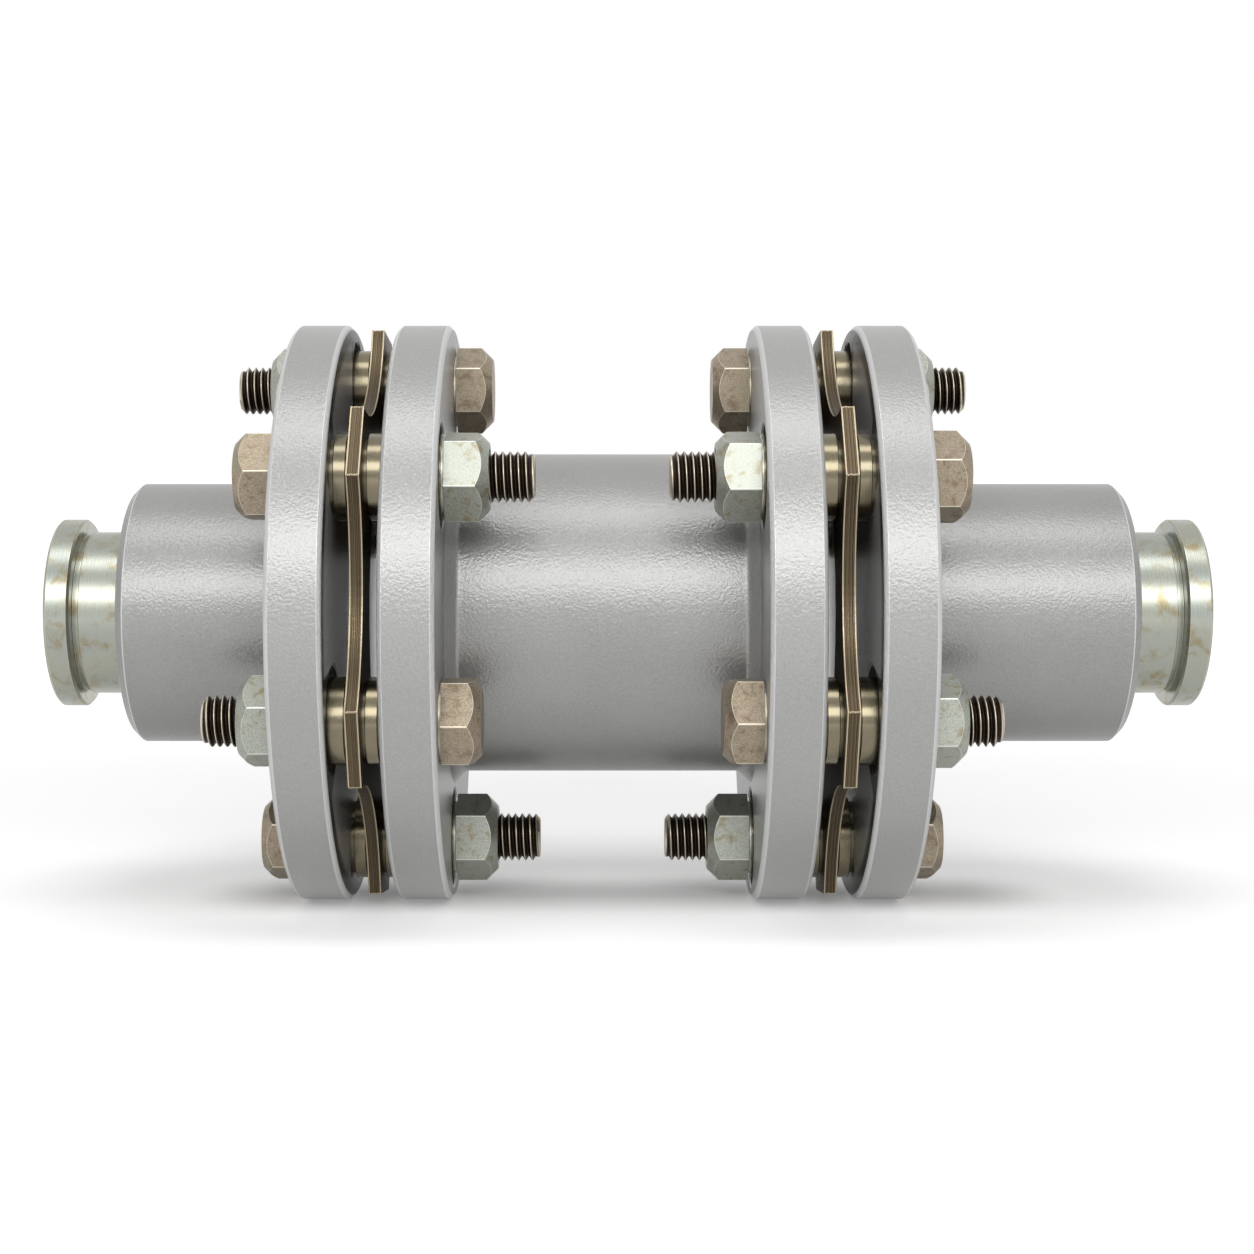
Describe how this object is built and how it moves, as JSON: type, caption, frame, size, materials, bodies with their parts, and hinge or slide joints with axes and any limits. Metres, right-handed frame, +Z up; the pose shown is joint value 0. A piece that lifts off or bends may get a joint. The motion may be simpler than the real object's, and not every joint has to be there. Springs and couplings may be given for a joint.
{
  "type": "disc coupling",
  "caption": "Double disc coupling: two flanged hubs joined by laminated steel disc packs to a tubular centre spacer, with plated bore sleeves.",
  "frame": {"origin": "on the axis of the coupling, midway between its two ends", "axes": "+X along the coupling's axis towards the longer hub, +Z up, +Y away from the picture's camera"},
  "size_m": [0.2866, 0.145, 0.145],
  "materials": {
    "silver_paint": "satin silver-grey paint with a fine orange-peel texture",
    "yellow_plate": "pale yellow zinc plate, lightly stained",
    "spring_steel": "bronze-tinted rolled spring steel, bright at the cut edges",
    "bronze_plate": "beige-bronze passivated zinc, dull",
    "pale_zinc": "pale greenish zinc plate with small stains",
    "gilt_plate": "turned and thinly yellow-plated, satin"
  },
  "bodies": {
    "root": {"centre_spacer": "silver_paint", "left_hub": "silver_paint", "left_bore_sleeve": "yellow_plate", "left_disc_pack": "spring_steel", "left_spacer_side_bolts": "bronze_plate", "left_hub_side_bolts": "bronze_plate", "left_spacer_side_nuts": "pale_zinc", "left_hub_side_nuts": "pale_zinc", "left_spacer_side_washers": "gilt_plate", "left_hub_side_washers": "gilt_plate", "left_spacer_side_bushes": "gilt_plate", "left_hub_side_bushes": "gilt_plate", "right_hub": "silver_paint", "right_bore_sleeve": "yellow_plate", "right_disc_pack": "spring_steel", "right_spacer_side_bolts": "bronze_plate", "right_hub_side_bolts": "bronze_plate", "right_spacer_side_nuts": "pale_zinc", "right_hub_side_nuts": "pale_zinc", "right_spacer_side_washers": "gilt_plate", "right_hub_side_washers": "gilt_plate", "right_spacer_side_bushes": "gilt_plate", "right_hub_side_bushes": "gilt_plate"}
  },
  "joints": []
}
